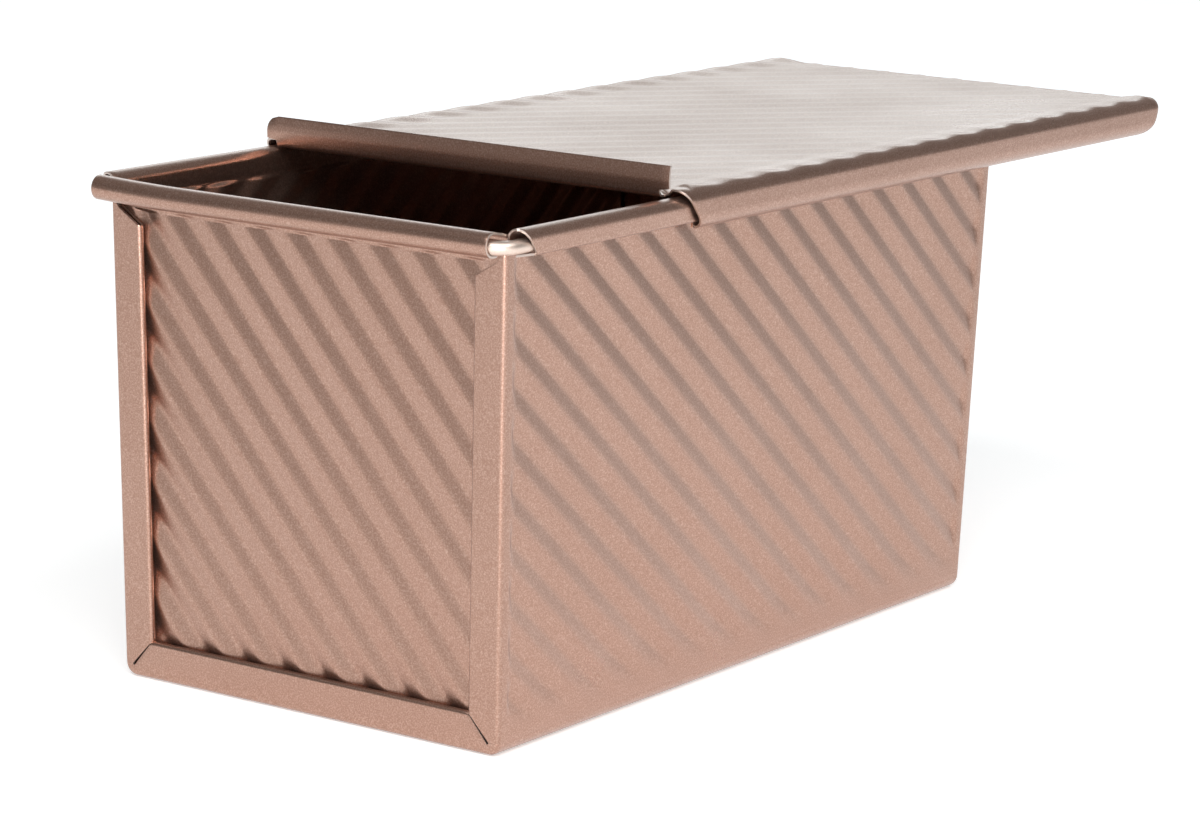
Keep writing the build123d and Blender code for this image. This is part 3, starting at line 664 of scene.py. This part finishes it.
coat = {
    "base": (0.372, 0.216, 0.162, 1.0), "glint": (0.62, 0.43, 0.35, 1.0), "shade": (0.34, 0.185, 0.125, 1.0),
    "metallic": 0.94, "roughness": 0.30, "sparkle": 0.75, "bump": 0.16, "scale": 3000,
    "clear": 0.22, "clearRoughness": 0.32,
}
bareEdge = dict(coat, base=(0.60, 0.51, 0.46, 1.0), shade=(0.60, 0.51, 0.46, 1.0), metallic=1.0, roughness=0.42,
                sparkle=0.2, bump=0.05, scale=3200)
wireCoat = dict(coat, base=(0.84, 0.71, 0.62, 1.0), shade=coat["base"], metallic=1.0, roughness=0.44,
                sparkle=0.3, bump=0.05, scale=3200)
grainLook = {"cloudScale": 22, "cloud": (0.35, 0.7, 0.0, 0.16), "glint": (0.42, 0.74, 0.0, 1.0),
             "rough": (0.3, 0.7, -0.04, 0.05)}


def mapRange(tree, value, limits, smooth=False):
    node = tree.nodes.new("ShaderNodeMapRange")
    if smooth:
        node.interpolation_type = "SMOOTHSTEP"
    for label, limit in zip(("From Min", "From Max", "To Min", "To Max"), limits):
        node.inputs[label].default_value = limit
    tree.links.new(value, node.inputs["Value"])
    return node.outputs[0]


def noise(tree, place, detail):
    node = tree.nodes.new("ShaderNodeTexNoise")
    node.inputs["Detail"].default_value = detail
    tree.links.new(place, node.inputs["Vector"])
    return node


def blend(tree, factor, first, second):
    node = tree.nodes.new("ShaderNodeMix")
    node.data_type = "RGBA"
    for label, socket in (("Factor", factor), ("A", first), ("B", second)):
        tree.links.new(socket, node.inputs[label])
    return node.outputs["Result"]


def sparkleGroup():
    # fine metallic grain and faint cloudiness of a sprayed and baked coating
    group = bpy.data.node_groups.new("bakedCoatGrain", "ShaderNodeTree")
    for way, label, kind in (("INPUT", "Base", "Color"), ("INPUT", "Glint", "Color"), ("INPUT", "Shade", "Color"),
                             ("INPUT", "Grain", "Float"), ("INPUT", "Roughness", "Float"),
                             ("INPUT", "Scale", "Float"), ("OUTPUT", "Color", "Color"),
                             ("OUTPUT", "Roughness", "Float"), ("OUTPUT", "Height", "Float")):
        group.interface.new_socket(label, in_out=way, socket_type="NodeSocket" + kind)
    nodes, links = group.nodes, group.links
    given = nodes.new("NodeGroupInput").outputs
    out = nodes.new("NodeGroupOutput")
    place = nodes.new("ShaderNodeTexCoord").outputs["Object"]
    fine = noise(group, place, 3)
    links.new(given["Scale"], fine.inputs["Scale"])
    cloud = noise(group, place, 4)
    cloud.inputs["Scale"].default_value = grainLook["cloudScale"]
    toned = blend(group, mapRange(group, cloud.outputs[0], grainLook["cloud"]), given["Base"], given["Shade"])
    glint = mathNode(group, "MULTIPLY", mapRange(group, fine.outputs[0], grainLook["glint"]), given["Grain"])
    links.new(blend(group, glint, toned, given["Glint"]), out.inputs["Color"])
    rough = mapRange(group, cloud.outputs[0], grainLook["rough"])
    links.new(mathNode(group, "ADD", given["Roughness"], rough), out.inputs["Roughness"])
    links.new(fine.outputs[0], out.inputs["Height"])
    return group


def coatMaterial(name, group, look):
    material = bpy.data.materials.new(name)
    material.use_nodes = True
    nodes, links = material.node_tree.nodes, material.node_tree.links
    shader = nodes["Principled BSDF"]
    shader.inputs["Metallic"].default_value = look["metallic"]
    shader.inputs["Coat Weight"].default_value = look["clear"]
    shader.inputs["Coat Roughness"].default_value = look["clearRoughness"]
    effect = nodes.new("ShaderNodeGroup")
    effect.node_tree = group
    for label, key in (("Base", "base"), ("Glint", "glint"), ("Shade", "shade"), ("Grain", "sparkle"),
                       ("Roughness", "roughness"), ("Scale", "scale")):
        effect.inputs[label].default_value = look[key]
    links.new(effect.outputs["Color"], shader.inputs["Base Color"])
    links.new(effect.outputs["Roughness"], shader.inputs["Roughness"])
    ripple = nodes.new("ShaderNodeBump")
    ripple.inputs["Strength"].default_value = look["bump"]
    ripple.inputs["Distance"].default_value = 0.1 * mm
    links.new(effect.outputs["Height"], ripple.inputs["Height"])
    links.new(ripple.outputs[0], shader.inputs["Normal"])
    return material


stage = {
    "floor": (0.86, 0.86, 0.86, 1.0), "reach": 4.0, "drop": -0.0002, "roughness": 0.9,
    "behind": (0.825, 0.565, 0.0),  # the way the floor runs back behind the pan
    "glow": (-0.3, 1.1, 0.40, 0.56),  # from and to so many metres back, and the lift at each
}


def makeStage():
    mesh = bpy.data.meshes.new("floor")
    reach = stage["reach"]
    corners = ((-reach, -reach), (reach, -reach), (reach, reach), (-reach, reach))
    mesh.from_pydata([(x, y, stage["drop"]) for x, y in corners], [], [(0, 1, 2, 3)])
    floor = bpy.data.objects.new("floor", mesh)
    bpy.context.scene.collection.objects.link(floor)
    paper = bpy.data.materials.new("whitePaper")
    paper.use_nodes = True
    tree = paper.node_tree
    nodes, links = tree.nodes, tree.links
    shader = nodes["Principled BSDF"]
    shader.inputs["Base Color"].default_value = stage["floor"]
    shader.inputs["Roughness"].default_value = stage["roughness"]
    shader.inputs["Specular IOR Level"].default_value = 0.0
    shader.inputs["Emission Color"].default_value = (1.0, 1.0, 1.0, 1.0)
    # seen directly or mirrored in the metal, the paper is lifted to white; its shadows stay
    rays = nodes.new("ShaderNodeLightPath").outputs
    seen = mathNode(tree, "MAXIMUM", rays["Is Camera Ray"],
                    mathNode(tree, "MAXIMUM", rays["Is Glossy Ray"], rays["Is Transmission Ray"]))
    back = nodes.new("ShaderNodeVectorMath")
    back.operation = "DOT_PRODUCT"
    back.inputs[1].default_value = stage["behind"]
    links.new(nodes.new("ShaderNodeTexCoord").outputs["Object"], back.inputs[0])
    glow = mapRange(tree, back.outputs["Value"], stage["glow"], smooth=True)
    links.new(mathNode(tree, "MULTIPLY", seen, glow), shader.inputs["Emission Strength"])
    mesh.materials.append(paper)


sky = {
    "sides": (-0.4, 0.4, 0.25, 0.9),  # darker to the left and right of the pan than before and behind it
    "ramp": ((0.50, (0.90, 0.90, 0.89, 1)), (0.63, (0.90, 0.8955, 0.8865, 1)), (0.72, (0.50, 0.4975, 0.4925, 1)),
             (1.0, (0.32, 0.32, 0.32, 1))),  # from the horizon up
}


def makeWorld():
    world = bpy.data.worlds.new("studio")
    bpy.context.scene.world = world
    world.use_nodes = True
    nodes, links = world.node_tree.nodes, world.node_tree.links
    background = nodes["Background"]
    place = nodes.new("ShaderNodeTexCoord")
    parts = nodes.new("ShaderNodeSeparateXYZ")
    links.new(place.outputs["Generated"], parts.inputs[0])
    ramp = nodes.new("ShaderNodeValToRGB")
    links.new(mapRange(world.node_tree, parts.outputs[2], (-1, 1, 0, 1)), ramp.inputs[0])
    elements = ramp.color_ramp.elements
    for i, (position, color) in enumerate(sky["ramp"]):
        element = elements[i] if i < len(elements) else elements.new(position)
        element.position = position
        element.color = color
    links.new(ramp.outputs[0], background.inputs["Color"])
    across = mathNode(world.node_tree, "MULTIPLY", parts.outputs[0], parts.outputs[1])
    links.new(mapRange(world.node_tree, across, sky["sides"]), background.inputs["Strength"])


lights = {  # place, target, width, height, watts, colour
    "keyLeft": ((-0.9, -0.1, 1.3), (0, 0, 0), 1.0, 0.7, 8, (1, 1, 1)),
    "overCamera": ((-0.50, -0.55, 0.66), (-0.05, -0.05, 0.03), 0.65, 0.45, 3, (1, 1, 1)),
    "behindCamera": ((-1.05, -0.73, 0.13), (-0.09, -0.05, 0.06), 0.5, 0.16, 7, (1, 1, 1)),
    "fillFront": ((0.1, -1.0, 1.3), (0, 0, 0), 1.0, 0.7, 6.5, (1, 1, 1)),
    "behind": ((1.1, 0.85, 0.75), (0.06, 0, 0.11), 1.2, 0.6, 3.5, (0.68, 0.91, 1.0)),
}


def addLight(name, place, target, width, height, power, tint):
    data = bpy.data.lights.new(name, "AREA")
    data.shape = "RECTANGLE"
    data.size = width
    data.size_y = height
    data.energy = power
    data.color = tint
    obj = bpy.data.objects.new(name, data)
    bpy.context.scene.collection.objects.link(obj)
    obj.location = place
    obj.rotation_euler = (Vector(target) - Vector(place)).to_track_quat("-Z", "Y").to_euler()


camera = {
    "place": (-0.75437, -0.52458, 0.24198),
    "azimuth": -55.63, "elevation": 11.705, "roll": 1.583,
    "lens": 123.78, "sensorWidth": 36.0,
}


def makeCamera():
    az = math.radians(camera["azimuth"])
    el = math.radians(camera["elevation"])
    roll = math.radians(camera["roll"])
    back = Vector((math.sin(az) * math.cos(el), -math.cos(az) * math.cos(el), math.sin(el)))
    right = (-back).cross(Vector((0, 0, 1))).normalized()
    up = right.cross(-back)
    tiltedRight = right * math.cos(roll) + up * math.sin(roll)
    tiltedUp = up * math.cos(roll) - right * math.sin(roll)
    data = bpy.data.cameras.new("photoCamera")
    data.lens = camera["lens"]
    data.sensor_width = camera["sensorWidth"]
    data.sensor_fit = "HORIZONTAL"
    data.clip_start = 0.01
    obj = bpy.data.objects.new("photoCamera", data)
    bpy.context.scene.collection.objects.link(obj)
    turn = Matrix((tiltedRight, tiltedUp, back)).transposed()
    obj.matrix_world = Matrix.Translation(Vector(camera["place"])) @ turn.to_4x4()
    bpy.context.scene.camera = obj


makeCamera()
makeStage()
makeWorld()
bpy.context.scene.view_settings.view_transform = "Standard"
for name, values in lights.items():
    addLight(name, *values)
print("stage made")

grain = sparkleGroup()
sheetFinishes = (coatMaterial("coatedSheet", grain, coat), coatMaterial("cutSheetEdge", grain, bareEdge),
                 pressTree())
pieces = (
    (makeBody(sheetFinishes), "pan", "pan_body", "coated_sheet"),
    (makeEndPanel(-1, "frontPanel", sheetFinishes), "pan", "front_end_panel", "coated_sheet"),
    (makeEndPanel(1, "rearPanel", sheetFinishes), "pan", "rear_end_panel", "coated_sheet"),
    (makeWire(coatMaterial("coatedWire", grain, wireCoat)), "pan", "rim_wire", "coated_wire"),
    (makeLid(sheetFinishes), "lid", "lid", "coated_sheet"),
)
for piece, rider, node, slot in pieces:
    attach(piece, rider)
    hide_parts(node)
